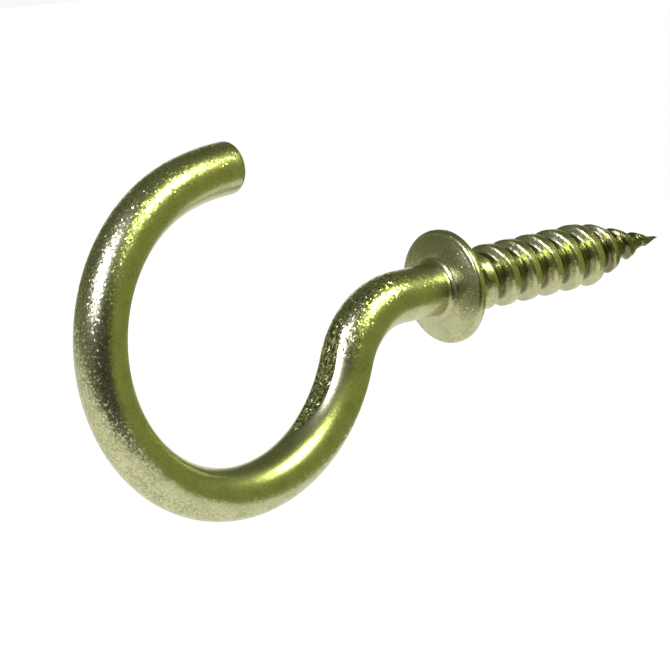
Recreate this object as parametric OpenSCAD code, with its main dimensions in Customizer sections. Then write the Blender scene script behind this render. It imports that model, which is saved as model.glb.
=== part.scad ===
// Cup hook: one length of wire with a collar headed on it, a rolled wood-screw thread on one
// side of the collar and an open hook bent on the other.
// Origin: centre of the collar's flat wall side. +X runs into the wall along the screw, +Z is up,
// and the hook is bent in the XZ plane.

/* [Wire and hook] */
// Diameter of the wire
wire_d = 3.5; // [2.5:0.1:5]
// Straight neck from the wall side of the collar to the first bend
neck_len = 4.6; // [3:0.1:10]
// Centreline radius of the bend that takes the neck down into the bowl
neck_bend_r = 5.2; // [4.5:0.1:8]
// How far that bend turns down
neck_bend_angle = 68.7; // [60:0.1:75]
// Centreline radius of the bowl, where the load hangs
bowl_r = 10.75; // [8:0.05:20]
// How far the bowl turns back up
bowl_angle = 93; // [80:1:100]
// Centreline radius of the front of the hook
front_r = 10.35; // [8:0.05:20]
// How far the front turns
front_angle = 141; // [120:1:150]
// Centreline radius of the easier curve at the open end
lip_r = 16.8; // [12:0.1:30]
// How far the open end turns
lip_angle = 14.6; // [5:0.1:25]
// Rounding of the wire's cut end
end_round = 0.35; // [0.1:0.05:0.8]

/* [Collar] */
// Diameter of the collar
collar_d = 7.6; // [6.2:0.1:12]
// Thickness of the collar at its rim
rim_t = 0.6; // [0.4:0.05:1.5]
// Rounding of the rim's outer edge
rim_round = 0.25; // [0.1:0.05:0.35]
// Rounding of the rim's edge against the wall
seat_round = 0.1; // [0.05:0.05:0.15]
// Rise of the domed outer face, from the rim to the collar's centre
dome_rise = 0.5; // [0.2:0.05:1]
// Fillet between the domed face and the wire
wire_fillet = 0.45; // [0.2:0.05:0.6]

/* [Screw] */
// Length of the screw from the collar's wall side to the tip
screw_len = 19.5; // [15:0.5:40]
// Length of the tapered point
point_len = 7; // [4:0.5:9]
// Diameter over the thread's crests
crest_d = 4.3; // [3.5:0.05:5.4]
// Diameter of the core at the thread's root
core_d = 3.1; // [2.4:0.05:3.4]
// Distance from one crest to the next
pitch = 1.95; // [1.2:0.05:2.6]
// Width of the flat on a crest
crest_w = 0.36; // [0.2:0.02:0.5]
// Width of each flank, seen from the side
flank_w = 0.42; // [0.2:0.02:0.5]
// Where the first crest crosses the +Y side
first_crest = 1.4; // [0:0.05:2.6]
// How far the plain neck behind the collar runs before the thread begins
thread_clear = 1.2; // [0.8:0.1:3]
// Length over which the thread grows to its full height
thread_run_in = 2.4; // [1:0.1:4]

/* [Hidden] */

$fn = 96;
plated_steel = [0.62, 0.62, 0.36];
wire_r = wire_d / 2;
collar_r = collar_d / 2;
core_r = core_d / 2;
thread_depth = (crest_d - core_d) / 2;
// The neck behind the collar starts wider than the crests, so that the seat stays a plain ring
neck_over = 0.2;
neck_foot_r = crest_d / 2 + neck_over;
// How far the neck's small end stands over the core, so that the core starts inside its flat end
core_over = 0.04;
// How deep the dome's fillet and the threaded core are set into what carries them
bite = 0.15;
// Width of the bands where two bends meet, and how far they stand over the wire
band_w = 0.3;
band_over = 0.01;
// Radius of the ball that the domed face is cut from, by the rule of the circle's sagitta
dome_base_r = collar_r - rim_round;
dome_ball_r = (dome_base_r * dome_base_r + dome_rise * dome_rise) / (2 * dome_rise);
// Height of the dome above the rim at the foot of the wire's fillet
fillet_foot_r = wire_r + wire_fillet;
dome_drop = dome_ball_r - sqrt(dome_ball_r * dome_ball_r - fillet_foot_r * fillet_foot_r);
fillet_base = rim_t + dome_rise - dome_drop;

// The thread has as many steps along a pitch as round a turn, so its edges follow the facets
sides = 16;
step = pitch / sides;
rows = floor((screw_len - thread_clear) / step);

// 0 at lo, 1 at hi and straight in between
function ramp(v, lo, hi) = min(1, max(0, (v - lo) / (hi - lo)));
// Share of the full radius left at x: 1 on the parallel shank, 0 at the tip
function taper(x) = ramp(x, screw_len, screw_len - point_len);
// Share of the thread's full height at x and angle a, which is measured from +Y towards +Z
function ridge(x, a) =
    let (turns = (x - first_crest) / pitch - a / 360)
    let (off_crest = abs(turns - round(turns)) * pitch)
    ramp(off_crest, crest_w / 2 + flank_w, crest_w / 2);
function run_in(x) = ramp(x, thread_clear, thread_clear + thread_run_in);
function screw_r(x, a) = taper(x) * (core_r + thread_depth * run_in(x) * ridge(x, a));
function screw_point(x, a) = [x, screw_r(x, a) * cos(a), screw_r(x, a) * sin(a)];
function row_x(j) = thread_clear - bite + (j == 0 ? 0 : bite + (j - 1) * step);

// Rows of points along the screw, closed by a flat face inside the neck and by the tip
module threaded_shank() {
    points = [for (j = [0:rows], k = [0:sides - 1]) screw_point(row_x(j), k * 360 / sides)];
    tip = len(points);
    start_face = [for (k = [0:sides - 1]) k];
    walls = [for (j = [0:rows - 1], k = [0:sides - 1])
        let (a = j * sides + k, b = j * sides + (k + 1) % sides)
        each [[a, a + sides, b + sides], [a, b + sides, b]]];
    point_faces = [for (k = [0:sides - 1]) [rows * sides + k, tip, rows * sides + (k + 1) % sides]];
    polyhedron(concat(points, [[screw_len, 0, 0]]), concat([start_face], walls, point_faces));
}

// Everything turned about the screw's axis is drawn standing up, then laid along +X
module along_x() {
    rotate([0, 90, 0]) children();
}

// Cone behind the collar, down to a hair over the screw's core
module neck_cone() {
    along_x() cylinder(h = thread_clear, r1 = neck_foot_r, r2 = core_r + core_over);
}

// Outline of half a disc of radius r and height h, its outer corners rounded
module rounded_disc_outline(r, h, low_round, high_round) {
    square([r - max(low_round, high_round), h]);
    translate([0, low_round]) square([r, h - low_round - high_round]);
    square([r - low_round, low_round + high_round]);
    translate([0, low_round]) square([r - high_round, h - low_round]);
    translate([r - low_round, low_round]) circle(low_round);
    translate([r - high_round, h - high_round]) circle(high_round);
}

module collar() {
    rotate([0, -90, 0]) {
        rotate_extrude() rounded_disc_outline(collar_r, rim_t, seat_round, rim_round);
        // Domed outer face
        intersection() {
            translate([0, 0, rim_t + dome_rise - dome_ball_r]) sphere(dome_ball_r);
            translate([0, 0, rim_t / 2]) cylinder(h = rim_t + dome_rise, r = dome_base_r);
        }
        // Fillet ring round the wire
        translate([0, 0, fillet_base]) rotate_extrude() difference() {
            translate([0, -bite]) square([fillet_foot_r, wire_fillet + bite]);
            translate([fillet_foot_r, wire_fillet]) circle(wire_fillet);
            translate([fillet_foot_r, 0]) square([wire_fillet, wire_fillet]);
        }
    }
}

// A straight stretch of wire along +X, and what follows it
module wire_straight(length) {
    along_x() cylinder(h = length, r = wire_r);
    translate([length, 0, 0]) children();
}

// A band a hair over the wire's size, which laps both sides of a joint between two bends
module joint_band() {
    translate([-band_w / 2, 0, 0]) along_x() cylinder(h = band_w, r = wire_r + band_over);
}

// A bend of the wire that turns up from +X towards +Z, or down if roll is 180, and what follows it
module wire_bend(r, angle, roll = 0) {
    rotate([roll, 0, 0]) translate([0, 0, r]) {
        rotate([90, 0, 0]) rotate_extrude(start = -90, angle = angle) translate([r, 0]) circle(wire_r);
        rotate([0, -angle, 0]) translate([0, 0, -r]) {
            joint_band();
            rotate([-roll, 0, 0]) children();
        }
    }
}

// The wire's cut end, its edge rounded
module wire_end() {
    along_x() rotate_extrude() {
        square([wire_r - end_round, end_round]);
        intersection() {
            translate([wire_r - end_round, 0]) circle(end_round);
            square([wire_r, end_round]);
        }
    }
}

module bent_wire() {
    rotate([0, 0, 180])
        wire_straight(neck_len)
            wire_bend(neck_bend_r, neck_bend_angle, roll = 180)
                wire_bend(bowl_r, bowl_angle)
                    wire_bend(front_r, front_angle)
                        wire_bend(lip_r, lip_angle)
                            wire_end();
}

module hook() {
    color(plated_steel) {
        bent_wire();
        collar();
        neck_cone();
        threaded_shank();
    }
}

hook();
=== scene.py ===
import math

import bpy
import numpy as np
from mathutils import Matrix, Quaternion, Vector


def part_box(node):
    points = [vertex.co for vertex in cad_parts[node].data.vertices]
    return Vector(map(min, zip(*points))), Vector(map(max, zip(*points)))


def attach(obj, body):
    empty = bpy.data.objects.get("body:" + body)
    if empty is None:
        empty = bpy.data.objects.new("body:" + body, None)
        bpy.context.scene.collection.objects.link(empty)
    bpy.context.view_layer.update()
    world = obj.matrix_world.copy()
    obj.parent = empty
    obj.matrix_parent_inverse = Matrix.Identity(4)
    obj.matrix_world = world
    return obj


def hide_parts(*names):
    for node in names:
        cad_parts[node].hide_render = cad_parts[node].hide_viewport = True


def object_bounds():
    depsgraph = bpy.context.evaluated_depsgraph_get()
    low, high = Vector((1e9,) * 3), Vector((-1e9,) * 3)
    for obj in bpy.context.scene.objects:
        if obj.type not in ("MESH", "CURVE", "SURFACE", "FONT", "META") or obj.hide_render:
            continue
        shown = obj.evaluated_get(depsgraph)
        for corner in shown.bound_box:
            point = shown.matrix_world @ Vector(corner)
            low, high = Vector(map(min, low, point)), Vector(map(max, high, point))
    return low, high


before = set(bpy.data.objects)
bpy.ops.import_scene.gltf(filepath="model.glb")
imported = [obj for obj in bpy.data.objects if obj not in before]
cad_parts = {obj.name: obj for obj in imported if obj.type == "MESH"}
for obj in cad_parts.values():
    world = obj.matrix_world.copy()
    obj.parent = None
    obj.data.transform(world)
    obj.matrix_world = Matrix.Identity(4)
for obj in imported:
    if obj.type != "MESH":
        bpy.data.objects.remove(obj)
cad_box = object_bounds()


# ---------------------------------------------------------------------------------------------
# The hook: one length of drawn steel wire, with a collar headed on it and a wood-screw thread
# rolled behind the collar. The rest is bent into an open hook round a pin, and the whole is then
# plated with a thin, bright, brass-coloured coat.
# ---------------------------------------------------------------------------------------------

# All sizes are in millimetres, and the finished points are turned to metres
MM = 0.001
ROUND = 144                      # points round the wire

# The wire and its bends, from the wall side of the collar to the cut end
WIRE_R = 1.75
NECK = 4.6                       # straight neck, up to the first bend
BENDS = [                        # centreline radius and turn of each bend; a minus turns down
    (5.2, -68.7),                # neck into the bowl
    (10.75, 93.0),               # bowl
    (10.35, 141.0),              # front
    (16.8, 14.6),                # open end
]
EASING = 1.1                     # length over which one bend eases into the next
END_ROUND = 0.35                 # rounding of the cut end's edge
FINE_STEP = 0.02                 # step of the running sums along the wire
RING_STEP = 0.22                 # spacing of the rings along the wire
AFTER_COLLAR = 0.05              # gap from the collar's last ring to the wire's first
FACE_RINGS = (0.9, 0.6, 0.3)     # rings across the cut face, as shares of its radius


def ramp(v, low, high):
    """0 at low, 1 at high, eased at both ends: 3t^2 - 2t^3 of the straight share t."""
    t = np.clip((v - low) / (high - low), 0, 1)
    return t * t * (3 - 2 * t)


def bent_centreline():
    """Points, headings and run of the wire's centre, from the collar to the cut end.

    The curvature is the turn of each bend over its length, averaged over the easing length. The
    heading is its running sum, and each point is the last one plus a step along the mean heading.
    """
    lengths = [NECK] + [r * math.radians(abs(turn)) for r, turn in BENDS]
    curves = [0.0] + [math.copysign(1 / r, -turn) for r, turn in BENDS]
    ends = np.cumsum(lengths)
    total = ends[-1]
    s = np.arange(0, total, FINE_STEP) + FINE_STEP / 2
    bend = np.array(curves)[np.searchsorted(ends, s)]
    half = int(EASING / FINE_STEP / 2)
    kernel = np.ones(2 * half + 1) / (2 * half + 1)
    bend = np.convolve(np.pad(bend, half, mode="edge"), kernel, mode="valid")
    heading = math.pi + np.concatenate([[0], np.cumsum(bend * FINE_STEP)])
    middle = (heading[1:] + heading[:-1]) / 2
    x = np.concatenate([[0], np.cumsum(np.cos(middle) * FINE_STEP)])
    z = np.concatenate([[0], np.cumsum(np.sin(middle) * FINE_STEP)])
    at = np.linspace(0, len(x) - 1, int(total / RING_STEP)).round().astype(int)
    return x[at], z[at], heading[at], at * FINE_STEP


# The flat that the bending pin pressed in the inside of the neck's bend. The CAD part leaves it out.
MARK_RUN = 13.2                  # its middle, along the wire from the collar
MARK_HALF = 4.6                  # half its length
MARK_ANGLE = 90.0                # where it lies round the wire, in degrees
MARK_DEPTH = 0.20
MARK_EDGE = 0.02                 # depth at which the surface counts as fully pressed
BEHIND = 0.1                     # least cosine, which keeps the flat off the far side of the wire


def bent_radius(run, angle):
    """Radius of the wire: round, and cut by the pin's flat at its distance / cos(angle from it).

    The pin pressed deepest in the middle of its mark, by 1 - t^2 of the share t to its ends.
    """
    share = (run - MARK_RUN) / MARK_HALF
    depth = MARK_DEPTH * np.clip(1 - share ** 2, 0, 1)
    turn = angle - math.radians(MARK_ANGLE)
    return np.minimum(WIRE_R, (WIRE_R - depth) / np.maximum(np.cos(turn), BEHIND))


# The collar: a rim with rounded edges, a low dome and a fillet to the wire. The dome stands 0.1 mm
# higher here than on the CAD part.
COLLAR_R = 3.8
RIM_T = 0.6
RIM_ROUND = 0.3
SEAT_ROUND = 0.1                 # rounding of the rim's wall side
DOME_RISE = 0.6
DOME_POWER = 3.0
DOME_START = 0.03                # gap from the rim's last ring to the dome's first
WIRE_FILLET = 0.45
NECK_FOOT_R = 2.33               # where the screw's flared foot meets the seat


def arc(x, r, radius, start, stop, count):
    """x and r of points on an arc: its centre plus radius times (cos, sin) of the angle."""
    a = np.radians(np.linspace(start, stop, count))
    return x + radius * np.cos(a), r + radius * np.sin(a)


def collar_profile():
    """x and r from the screw's foot, out over the seat, round the rim and up the dome to the wire.

    The dome stands rise * (1 - (r / rim)^power) above the rim, and the fillet is a quarter round
    that ends along the wire.
    """
    base = COLLAR_R - RIM_ROUND
    foot = WIRE_R + WIRE_FILLET
    seat_r = np.linspace(NECK_FOOT_R, COLLAR_R - SEAT_ROUND, 9)[1:-1]
    dome_r = np.linspace(base - DOME_START, foot, 22)
    dome_x = -RIM_T - DOME_RISE * (1 - (dome_r / base) ** DOME_POWER)
    runs = [
        (0 * seat_r, seat_r),
        arc(-SEAT_ROUND, COLLAR_R - SEAT_ROUND, SEAT_ROUND, start=0, stop=90, count=6),
        arc(RIM_ROUND - RIM_T, base, RIM_ROUND, start=90, stop=180, count=10),
        (dome_x[:-1], dome_r[:-1]),
        arc(dome_x[-1] - WIRE_FILLET, foot, WIRE_FILLET, start=0, stop=-90, count=12),
    ]
    x, r = (np.concatenate(c) for c in zip(*runs))
    return x, r


# The screw: a right-hand thread that runs out on a point. Its crests are a little wider than the CAD
# part's, and gentler on the tip's side.
SCREW_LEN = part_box("hook")[1].x / MM
POINT_LEN = 7.0
CREST_R = 2.15
CORE_R = 1.55
PITCH = 1.95
CREST_W = 0.48
COLLAR_FLANK = 0.28              # width of each crest's steep flank, on the collar's side
TIP_FLANK = 0.70                 # width of its gentle flank, on the tip's side
FIRST_CREST = 1.4                # distance from the collar's seat
THREAD_CLEAR = 1.0               # plain foot between the seat and the thread
THREAD_RUN_IN = 2.4              # length over which the thread rises to full height
STEPS_A_PITCH = 28               # rings along one pitch of the thread
FOOT_RINGS = 12
FIRST_RING = 0.02                # gap from the tip to its first ring


def thread_radius(x, angle):
    """Radius of the screw at x and angle: core plus ridge, times the point's taper.

    The ridge is 1 on a crest and falls to 0 over a steep flank towards the collar and a gentle one
    towards the tip. The crests lie on the right-hand helix x = first crest + pitch * angle / turn.
    """
    turns = (x - FIRST_CREST) / PITCH - angle / (2 * math.pi)
    off = (turns - np.round(turns)) * PITCH
    edge = CREST_W / 2
    ridge = 1 - ramp(-off, edge, edge + COLLAR_FLANK) - ramp(off, edge, edge + TIP_FLANK)
    height = (CREST_R - CORE_R) * ramp(x, THREAD_CLEAR, THREAD_CLEAR + THREAD_RUN_IN)
    taper = np.clip((SCREW_LEN - x) / POINT_LEN, 0, 1)
    return (CORE_R + height * ridge) * taper


def all_round(r):
    """The same radius at every point round each ring: one row for each value of r."""
    return np.repeat(r[:, None], ROUND, 1)


def hook_rings():
    """Ring centres, headings, run and radii, from the screw's tip to the cut end.

    The run is the distance along the wire from the collar's seat, and is minus on the screw. The
    foot flares on a quarter round, and the cut end's edge is the arc (1 - cos, sin) of its rounding.
    """
    angle = np.linspace(0, 2 * math.pi, ROUND, endpoint=False)[None, :]
    thread_x = np.arange(SCREW_LEN - FIRST_RING, THREAD_CLEAR, -PITCH / STEPS_A_PITCH)
    foot_x = np.linspace(THREAD_CLEAR, 0, FOOT_RINGS)
    flare = 1 - np.sqrt(1 - (1 - foot_x / THREAD_CLEAR) ** 2)
    foot_r = CORE_R + (NECK_FOOT_R - CORE_R) * flare
    collar_x, collar_r = collar_profile()
    straight_x = np.concatenate([thread_x, foot_x, collar_x])

    cx, cz, heading, run = bent_centreline()
    past = run > -collar_x[-1] + AFTER_COLLAR
    cx, cz, heading, run = cx[past], cz[past], heading[past], run[past]

    a = np.radians(np.linspace(15, 90, 7))
    edge_r = WIRE_R - END_ROUND * (1 - np.cos(a))
    end_r = np.concatenate([edge_r, edge_r[-1] * np.array(FACE_RINGS)])
    end_run = np.concatenate([END_ROUND * np.sin(a), np.full(len(FACE_RINGS), END_ROUND)])

    x = np.concatenate([straight_x, cx, cx[-1] + end_run * np.cos(heading[-1])])
    z = np.concatenate([0 * straight_x, cz, cz[-1] + end_run * np.sin(heading[-1])])
    h = np.concatenate([0 * straight_x + math.pi, heading, 0 * end_run + heading[-1]])
    along = np.concatenate([-straight_x, run, run[-1] + end_run])
    radius = np.concatenate([thread_radius(thread_x[:, None], angle), all_round(foot_r),
                             all_round(collar_r), bent_radius(run[:, None], angle), all_round(end_r)])
    return x, z, h, along, radius, angle


def ring_surface(name, rows, first, last):
    """A closed mesh through rows of points (rows, round, 3), with a pole at each end.

    Each quad joins points k and k + 1 of one row to those of the next, in the order that faces out.
    """
    count, around = rows.shape[:2]
    points = np.concatenate([rows.reshape(-1, 3), [first], [last]])
    k = np.arange(around)
    k2 = (k + 1) % around
    row = np.arange(count - 1)[:, None] * around
    quads = np.stack([row + k, row + around + k, row + around + k2, row + k2], -1)
    pole = count * around
    start = np.stack([np.full(around, pole), k, k2], -1)
    end_row = (count - 1) * around
    end = np.stack([np.full(around, pole + 1), end_row + k2, end_row + k], -1)
    mesh = bpy.data.meshes.new(name)
    mesh.from_pydata(points.tolist(), [], quads.reshape(-1, 4).tolist() + start.tolist() + end.tolist())
    mesh.shade_smooth()
    piece = bpy.data.objects.new(name, mesh)
    bpy.context.scene.collection.objects.link(piece)
    return piece


# Each ring lies across its heading: centre + radius * (cos(angle) * side + sin(angle) * across)
x, z, heading, along, radius, angle = hook_rings()
centre = np.stack([x, 0 * x, z], -1)
across = np.stack([np.sin(heading), 0 * heading, -np.cos(heading)], -1)
side = np.array([0.0, 1.0, 0.0])
rows = (centre[:, None] + radius[..., None] * (np.cos(angle)[..., None] * side
        + np.sin(angle)[..., None] * across[:, None]))
tip = np.array([SCREW_LEN, 0, 0])
hook = ring_surface("bent_hook", rows * MM, tip * MM, centre[-1] * MM)


def point_values(name, rings, at_tip, at_cut):
    """Stores a number at each point: one for each ring and angle, then those of the two poles."""
    layer = hook.data.attributes.new(name, "FLOAT", "POINT")
    layer.data.foreach_set("value", np.concatenate([rings.ravel(), [at_tip, at_cut]]))


# Where each point lay on the straight wire before it was bent, in metres: run, across, up. The grain
# is drawn there, so it follows the wire round its bends.
straight = np.stack([np.repeat(along[:, None], ROUND, 1), radius * np.cos(angle),
                     radius * np.sin(angle)], -1).reshape(-1, 3)
straight = np.concatenate([straight, [[-SCREW_LEN, 0, 0], [along[-1], 0, 0]]]) * MM
layer = hook.data.attributes.new("on_straight_wire", "FLOAT_VECTOR", "POINT")
layer.data.foreach_set("vector", straight.ravel())

# 1 where the bending pin pressed the wire flat, 0 elsewhere
in_mark = (np.abs(along - MARK_RUN) < MARK_HALF)[:, None]
pressed = np.clip((WIRE_R - radius) / MARK_EDGE, 0, 1) * in_mark
point_values("pin_mark", pressed, 0, 0)

# How strongly the grain shows. Bending stretches the outside of the wire and roughens it, by
# curvature times the height towards the outside; heading and rolling leave an even, finer grain.
WIRE_GRAIN = 0.32
STRETCH_GRAIN = 3.6
LEAST_GRAIN = 0.15
MOST_GRAIN = 1.3
HEADED_GRAIN = 0.45
HEADED_LENGTH = 1.5              # the collar's own length along the wire
curvature = np.gradient(heading) / np.maximum(np.gradient(along), 1e-6)
stretch = curvature[:, None] * np.sin(angle) * WIRE_R
on_wire = (along > HEADED_LENGTH)[:, None]
bent_grain = np.clip(WIRE_GRAIN + STRETCH_GRAIN * stretch, LEAST_GRAIN, MOST_GRAIN)
point_values("grain_shows", np.where(on_wire, bent_grain, HEADED_GRAIN), HEADED_GRAIN, WIRE_GRAIN)

# 1 in the root of the thread, where painted shade darkens the coat, and 0 on its crests and off the
# thread
on_thread = (along < -THREAD_CLEAR)[:, None]
root_depth = np.clip((CREST_R - radius) / (CREST_R - CORE_R), 0, 1) * on_thread
point_values("thread_root", root_depth, 1, 0)


def linear(hex_colour):
    """A #rrggbb sRGB colour as linear red, green, blue and alpha."""
    parts = [int(hex_colour[i:i + 2], 16) / 255 for i in (1, 3, 5)]
    return [c / 12.92 if c <= 0.04045 else ((c + 0.055) / 1.055) ** 2.4 for c in parts] + [1.0]


def add_node(tree, kind, settings=(), **inputs):
    """Adds a node. settings are its properties, and each input is a value or another node's socket.

    An input goes by its name, with _ for a space, or by i and its number where names repeat. On a
    Mix node i0 is the share, i2 and i3 the two numbers, and i6 and i7 the two colours.
    """
    node = tree.nodes.new(kind)
    for key, value in dict(settings).items():
        setattr(node, key, value)
    for key, value in inputs.items():
        numbered = key[0] == "i" and key[1:].isdigit()
        socket = node.inputs[int(key[1:])] if numbered else node.inputs[key.replace("_", " ")]
        if isinstance(value, bpy.types.NodeSocket):
            tree.links.new(value, socket)
        else:
            socket.default_value = value
    return node


# Real crystals of the coat, and the grain of the wire under it, are a few hundredths of a millimetre
# across. They are drawn several times as coarse, so that they show as fine specks.
CRYSTAL = 0.13
MARK_CRYSTAL = 0.24
SPECK = 0.16
MARK_SPECKLE = 0.22
PATCH = 1.5                      # cloudy patches of thicker and thinner coat
CRYSTAL_LEAN = 0.17              # how far a crystal's face leans from the surface
MARK_LEAN = 0.6


def brass_plated_steel():
    """Bright brass-coloured plating on drawn steel wire.

    A glossy yellow-green metal whose reflections have soft edges. Its crystals lean a little, most
    hardly at all and a few far, so each highlight breaks into specks along its edges. Painted shade
    darkens the coat to brown in the root of the thread. Painted glints and dark specks are put into
    the colour where the wire was stretched, and in the pin's mark dark and near-white speckle is
    painted reflection of its rough flat.
    """
    material = bpy.data.materials.new("brass_plated_steel")
    material.use_nodes = True
    tree = material.node_tree
    tree.nodes.clear()
    place = add_node(tree, "ShaderNodeAttribute", {"attribute_name": "on_straight_wire"})
    where = place.outputs["Vector"]
    mark = add_node(tree, "ShaderNodeAttribute", {"attribute_name": "pin_mark"}).outputs["Fac"]
    shows = add_node(tree, "ShaderNodeAttribute", {"attribute_name": "grain_shows"}).outputs["Fac"]
    root = add_node(tree, "ShaderNodeAttribute", {"attribute_name": "thread_root"}).outputs["Fac"]

    # The coat: patches and specks of two close tones, darkened to brown by painted shade in the
    # thread's root
    patches = add_node(tree, "ShaderNodeTexNoise", Vector=where, Scale=1 / (PATCH * MM), Detail=3.0,
                       Roughness=0.6)
    specks = add_node(tree, "ShaderNodeTexNoise", Vector=where, Scale=1 / (SPECK * MM), Detail=1.0)
    mottle = add_node(tree, "ShaderNodeMix", {"data_type": "FLOAT"}, i0=0.5,
                      i2=patches.outputs["Fac"], i3=specks.outputs["Fac"])
    tone = add_node(tree, "ShaderNodeValToRGB", Fac=mottle.outputs[0])
    tone.color_ramp.elements[0].position = 0.36
    tone.color_ramp.elements[0].color = linear("#9d9c76")
    tone.color_ramp.elements[1].position = 0.56
    tone.color_ramp.elements[1].color = linear("#b4b28c")
    # Painted shade: the coat is darkened to brown in the root of the thread
    root_shade = add_node(tree, "ShaderNodeMapRange", {"interpolation_type": "SMOOTHSTEP"}, Value=root,
                      From_Min=0.65, From_Max=1.0, To_Max=0.8)
    coat_and_root_shade = add_node(tree, "ShaderNodeMix", {"data_type": "RGBA"}, i0=root_shade.outputs["Result"],
                    i6=tone.outputs["Color"], i7=linear("#575134"))

    # Where the wire was stretched, the colour is lightened and darkened in fine specks: the bright ones
    # are painted glints, the dark ones partly real pits and partly painted reflection of the dim room
    glint_and_pit_levels = add_node(tree, "ShaderNodeMapRange", Value=specks.outputs["Fac"],
                      From_Min=0.36, From_Max=0.64, To_Min=0.35, To_Max=1.7)
    stretched = add_node(tree, "ShaderNodeMapRange", Value=shows, From_Min=0.5,
                         From_Max=MOST_GRAIN, To_Max=0.5)
    painted_glints_and_pits = add_node(tree, "ShaderNodeMix", {"data_type": "FLOAT"}, i0=stretched.outputs["Result"],
                       i2=1.0, i3=glint_and_pit_levels.outputs["Result"])
    speckled_coat = add_node(tree, "ShaderNodeHueSaturation", Value=painted_glints_and_pits.outputs[0],
                       Color=coat_and_root_shade.outputs[2])

    # The pin's mark, a real pressed flat, has painted reflection in its colour: dark and near-white
    # speckle standing in for the dim room and the bright grains that its rough flat mirrors
    mark_speckle_noise = add_node(tree, "ShaderNodeTexNoise", Vector=where, Scale=1 / (MARK_SPECKLE * MM), Detail=2.0)
    mark_painted_reflection = add_node(tree, "ShaderNodeValToRGB", Fac=mark_speckle_noise.outputs["Fac"])
    mark_painted_reflection.color_ramp.elements[0].position = 0.44
    mark_painted_reflection.color_ramp.elements[0].color = linear("#77753f")
    mark_painted_reflection.color_ramp.elements[1].position = 0.60
    mark_painted_reflection.color_ramp.elements[1].color = linear("#f0f0c8")
    colour = add_node(tree, "ShaderNodeMix", {"data_type": "RGBA"}, i0=mark,
                      i6=speckled_coat.outputs["Color"], i7=mark_painted_reflection.outputs["Color"]).outputs[2]

    # The lean of the crystals: all over by how much the grain shows, and more in the mark
    normal = add_node(tree, "ShaderNodeNewGeometry").outputs["Normal"]
    for size, lean, share in ((CRYSTAL, CRYSTAL_LEAN, shows), (MARK_CRYSTAL, MARK_LEAN, mark)):
        crystals = add_node(tree, "ShaderNodeTexVoronoi", Vector=where, Scale=1 / (size * MM))
        middled = add_node(tree, "ShaderNodeVectorMath", {"operation": "SUBTRACT"},
                           i0=crystals.outputs["Color"], i1=(0.5, 0.5, 0.5))
        rare = add_node(tree, "ShaderNodeMapRange", Value=specks.outputs["Fac"],
                        From_Min=0.5, From_Max=0.7, To_Min=0.5 * lean, To_Max=4.0 * lean)
        amount = add_node(tree, "ShaderNodeMath", {"operation": "MULTIPLY"}, i0=share,
                          i1=rare.outputs["Result"])
        leaned = add_node(tree, "ShaderNodeVectorMath", {"operation": "SCALE"},
                          i0=middled.outputs["Vector"], Scale=amount.outputs["Value"])
        normal = add_node(tree, "ShaderNodeVectorMath", {"operation": "ADD"},
                          i0=normal, i1=leaned.outputs["Vector"]).outputs["Vector"]
    normal = add_node(tree, "ShaderNodeVectorMath", {"operation": "NORMALIZE"}, i0=normal)
    shader = add_node(tree, "ShaderNodeBsdfPrincipled", Base_Color=colour, Metallic=1.0,
                      Roughness=0.29, Normal=normal.outputs["Vector"])
    add_node(tree, "ShaderNodeOutputMaterial", Surface=shader.outputs["BSDF"])
    return material


hook.data.materials.append(brass_plated_steel())
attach(hook, "root")
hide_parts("hook")


# ---------------------------------------------------------------------------------------------
# The studio: a wide white sheet lies below the hook, lit through from beneath. Two soft boxes stand
# to the left and the right, with two weak lights behind, and the camera looks from the open side.
# ---------------------------------------------------------------------------------------------

def toward(azimuth, elevation):
    """Unit vector away from the hook: azimuth 0 is -Y and 90 is +X, elevation is above level."""
    a, e = math.radians(azimuth), math.radians(elevation)
    return Vector((math.sin(a) * math.cos(e), -math.cos(a) * math.cos(e), math.sin(e)))


# The sheet lies clear below the hook, and one corner of it comes a little way in front
PAPER_DROP = 120 * MM
PAPER_EDGE = 165 * MM
PAPER_REACH = 3.0
PAPER_CORNER = 10
level = Vector((0, 0, cad_box[0].z - PAPER_DROP))
left_edge = toward(PAPER_CORNER - 45, 0)
right_edge = toward(PAPER_CORNER + 45, 0)
corners = [level + left_edge * a + right_edge * b for a, b in
           ((PAPER_EDGE, PAPER_EDGE), (-PAPER_REACH, PAPER_EDGE),
            (-PAPER_REACH, -PAPER_REACH), (PAPER_EDGE, -PAPER_REACH))]
mesh = bpy.data.meshes.new("paper")
mesh.from_pydata([tuple(c) for c in corners], [], [(0, 1, 2, 3)])
floor = bpy.data.objects.new("paper", mesh)
bpy.context.scene.collection.objects.link(floor)
# Translucent white paper: matt, and it glows evenly with the light from beneath
paper = bpy.data.materials.new("white_paper")
paper.use_nodes = True
paper.node_tree.nodes.clear()
shader = add_node(paper.node_tree, "ShaderNodeBsdfPrincipled", Base_Color=linear("#8c8c8c"),
                  Roughness=0.9, Emission_Color=(1.0, 1.0, 1.0, 1.0), Emission_Strength=0.86)
add_node(paper.node_tree, "ShaderNodeOutputMaterial", Surface=shader.outputs["BSDF"])
mesh.materials.append(paper)


def soft_box(name, azimuth, elevation, distance, width, height, radiance, colour):
    """An area light that faces the hook. Its power is radiance times pi times its area."""
    light = bpy.data.lights.new(name, "AREA")
    light.shape = "RECTANGLE"
    light.size = width
    light.size_y = height
    light.energy = radiance * math.pi * width * height
    light.color = colour
    lamp = bpy.data.objects.new(name, light)
    lamp.location = toward(azimuth, elevation) * distance
    lamp.rotation_mode = "QUATERNION"
    lamp.rotation_quaternion = (-lamp.location).to_track_quat("-Z", "Y")
    lamp.visible_camera = False
    bpy.context.scene.collection.objects.link(lamp)


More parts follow.
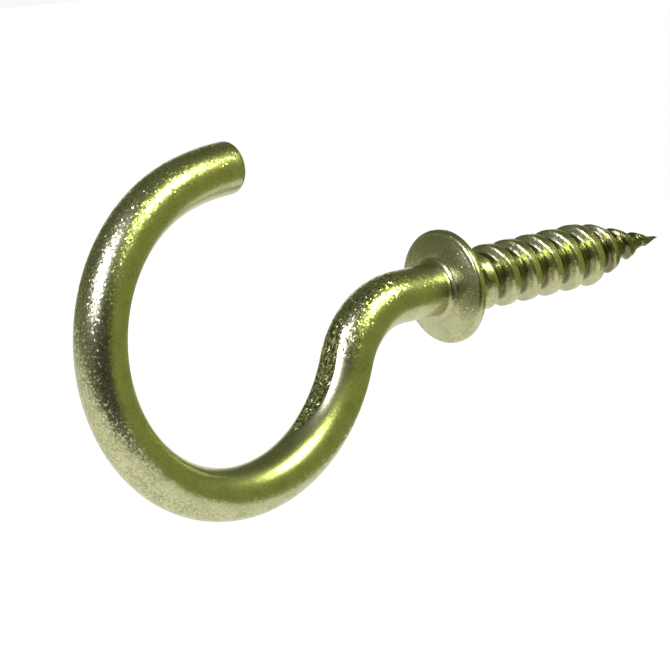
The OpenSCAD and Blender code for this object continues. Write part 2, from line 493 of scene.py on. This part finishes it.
soft_box("left_soft_box", azimuth=-72, elevation=38, distance=1.0, width=0.46, height=0.54,
         radiance=15.0, colour=(0.76, 0.76, 1.0))
soft_box("right_soft_box", azimuth=20, elevation=42, distance=1.0, width=0.38, height=0.30,
         radiance=30.0, colour=(0.86, 1.0, 0.44))
soft_box("backdrop_light", azimuth=139, elevation=6, distance=1.5, width=1.2, height=0.7,
         radiance=1.2, colour=(1.0, 1.0, 1.0))
soft_box("side_light", azimuth=90, elevation=22, distance=1.2, width=0.2, height=0.2,
         radiance=1.5, colour=(1.0, 1.0, 1.0))

# The room that the metal mirrors: dim overhead, olive to the right, grey behind on the left, and dark
# round the camera. The camera itself sees plain white.
DIM = (0.15, 0.17, 0.09, 1.0)
OLIVE = (0.33, 0.38, 0.11, 1.0)
GREY = (0.28, 0.30, 0.17, 1.0)
DARK = (0.03, 0.03, 0.022, 1.0)
WALLS = [                        # azimuth, cosines of the angle where it starts and is full, colour
    (45, -0.1, 0.4, OLIVE),
    (-155, 0.7, 0.95, GREY),
]
CEILING_FROM = 0.1               # heights of the direction where the dim ceiling starts and is full
CEILING_FULL = 0.55
DARK_TOWARD = (-32, -14)         # azimuth and elevation of the dark round the camera
DARK_EDGE = 50                   # degrees from there where it starts and is full
DARK_FULL = 22
world = bpy.data.worlds.new("studio")
world.use_nodes = True
tree = world.node_tree
tree.nodes.clear()
ray = add_node(tree, "ShaderNodeTexCoord").outputs["Generated"]
walls = DIM
for azimuth, start, full, colour in WALLS:
    facing = add_node(tree, "ShaderNodeVectorMath", {"operation": "DOT_PRODUCT"}, i0=ray,
                      i1=toward(azimuth, 0))
    share = add_node(tree, "ShaderNodeMapRange", {"interpolation_type": "SMOOTHSTEP"},
                     Value=facing.outputs["Value"], From_Min=start, From_Max=full)
    walls = add_node(tree, "ShaderNodeMix", {"data_type": "RGBA"}, i0=share.outputs["Result"],
                     i6=walls, i7=colour).outputs[2]
height = add_node(tree, "ShaderNodeSeparateXYZ", Vector=ray)
ceiling = add_node(tree, "ShaderNodeMapRange", {"interpolation_type": "SMOOTHSTEP"},
                   Value=height.outputs["Z"], From_Min=CEILING_FROM, From_Max=CEILING_FULL)
shell = add_node(tree, "ShaderNodeMix", {"data_type": "RGBA"}, i0=ceiling.outputs["Result"],
                 i6=walls, i7=DIM)
near_camera = add_node(tree, "ShaderNodeVectorMath", {"operation": "DOT_PRODUCT"}, i0=ray,
                       i1=toward(*DARK_TOWARD))
dark = add_node(tree, "ShaderNodeMapRange", {"interpolation_type": "SMOOTHSTEP"},
                Value=near_camera.outputs["Value"], From_Min=math.cos(math.radians(DARK_EDGE)),
                From_Max=math.cos(math.radians(DARK_FULL)))
room = add_node(tree, "ShaderNodeMix", {"data_type": "RGBA"}, i0=dark.outputs["Result"],
                i6=shell.outputs[2], i7=DARK)
lit = add_node(tree, "ShaderNodeBackground", Color=room.outputs[2])
white = add_node(tree, "ShaderNodeBackground", Color=(1.0, 1.0, 1.0, 1.0))
seen = add_node(tree, "ShaderNodeLightPath")
mix = add_node(tree, "ShaderNodeMixShader", i0=seen.outputs["Is Camera Ray"], i1=lit.outputs[0],
               i2=white.outputs[0])
add_node(tree, "ShaderNodeOutputWorld", Surface=mix.outputs[0])
bpy.context.scene.world = world
bpy.context.scene.view_settings.view_transform = "Standard"

# The camera: a long lens, nearly level with the hook and a little rolled
AZIMUTH = -41.05
ELEVATION = 8.51
ROLL = -5.87
DISTANCE = 483 * MM
AIM = Vector((-10.4, -0.2, -1.47)) * MM
back = toward(AZIMUTH, ELEVATION)
lens = bpy.data.cameras.new("camera")
lens.lens = 398.5
lens.sensor_width = 36
lens.clip_start = 0.01
lens.clip_end = 20
camera = bpy.data.objects.new("camera", lens)
camera.location = AIM + back * DISTANCE
camera.rotation_mode = "QUATERNION"
camera.rotation_quaternion = Quaternion(back, math.radians(ROLL)) @ (-back).to_track_quat("-Z", "Y")
bpy.context.scene.collection.objects.link(camera)
bpy.context.scene.camera = camera
